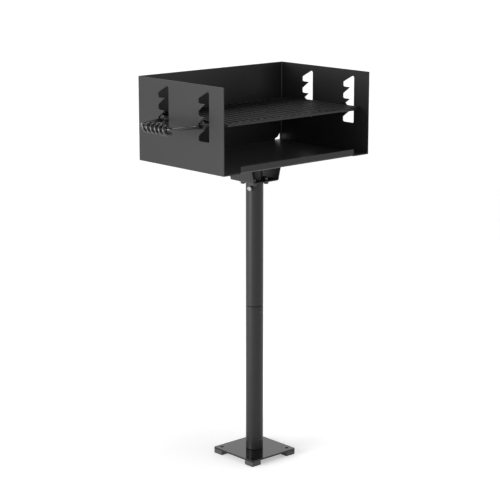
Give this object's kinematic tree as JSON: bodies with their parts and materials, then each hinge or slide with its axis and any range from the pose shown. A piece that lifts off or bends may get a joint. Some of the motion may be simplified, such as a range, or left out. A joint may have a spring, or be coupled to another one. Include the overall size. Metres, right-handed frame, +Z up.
{
  "type": "park barbecue grill on a pedestal post",
  "caption": "Open steel firebox that swivels on a two-piece post with a square base plate; its cooking grate rests in sawtooth wall slots and lifts by a long rod handle with a coil grip.",
  "frame": {"origin": "on the post's axis at ground level, the centre of the four anchor holes where the rubber feet stand", "axes": "+Z up along the post; the firebox's open front faces -Y; the rod handle is on the -X side"},
  "size_m": [0.6959, 0.381, 1.1793],
  "materials": {
    "powder_black": "satin black powder coat",
    "gloss_black": "smooth glossy black coat",
    "rod_black": "semi-gloss black coat",
    "rubber": "matte",
    "zinc": "bright zinc plate",
    "dark_steel": "dark oxide"
  },
  "bodies": {
    "stand": {"base_plate": "gloss_black", "foot_front_left": "rubber", "foot_front_right": "rubber", "foot_rear_left": "rubber", "foot_rear_right": "rubber", "base_stub": "dark_steel", "lower_post": "powder_black", "post_coupler": "dark_steel", "upper_post": "powder_black", "post_screws": "dark_steel", "lock_nut": "powder_black", "lock_bolt": "zinc"},
    "head": {"swivel_tube": "powder_black", "swivel_flange": "powder_black", "saddle": "powder_black", "saddle_bolts": "zinc", "saddle_nuts": "dark_steel", "saddle_welds": "powder_black", "floor_pan": "powder_black", "firebox_shell": "powder_black"},
    "grate": {"handle_rod": "rod_black", "rod_washers": "rod_black", "grate_front_rod": "rod_black", "grate_rear_rod": "rod_black", "grate_bar_01": "rod_black", "grate_bar_02": "rod_black", "grate_bar_03": "rod_black", "grate_bar_04": "rod_black", "grate_bar_05": "rod_black", "grate_bar_06": "rod_black", "grate_bar_07": "rod_black", "grate_bar_08": "rod_black", "grate_bar_09": "rod_black", "grate_bar_10": "rod_black", "grate_bar_11": "rod_black", "grate_bar_12": "rod_black", "grate_bar_13": "rod_black", "grate_bar_14": "rod_black", "grate_bar_15": "rod_black", "grate_bar_16": "rod_black", "grate_bar_17": "rod_black", "grate_bar_18": "rod_black", "grate_bar_19": "rod_black", "grate_bar_20": "rod_black"},
    "grip": {"coil_grip": "rod_black"}
  },
  "joints": [
    {"name": "head_swivel", "type": "hinge", "parent": "stand", "child": "head", "pos_m": [0, 0, 0.8573], "axis": [0, 0, 1], "continuous": true},
    {"name": "grate_slide", "type": "slide", "parent": "head", "child": "grate", "axis": [0, -1, 0], "range_m": [0, 0.032]},
    {"name": "grip_turn", "type": "hinge", "parent": "grate", "child": "grip", "pos_m": [-0.379, -0.018, 1.0558], "axis": [0, 1, 0], "continuous": true}
  ]
}
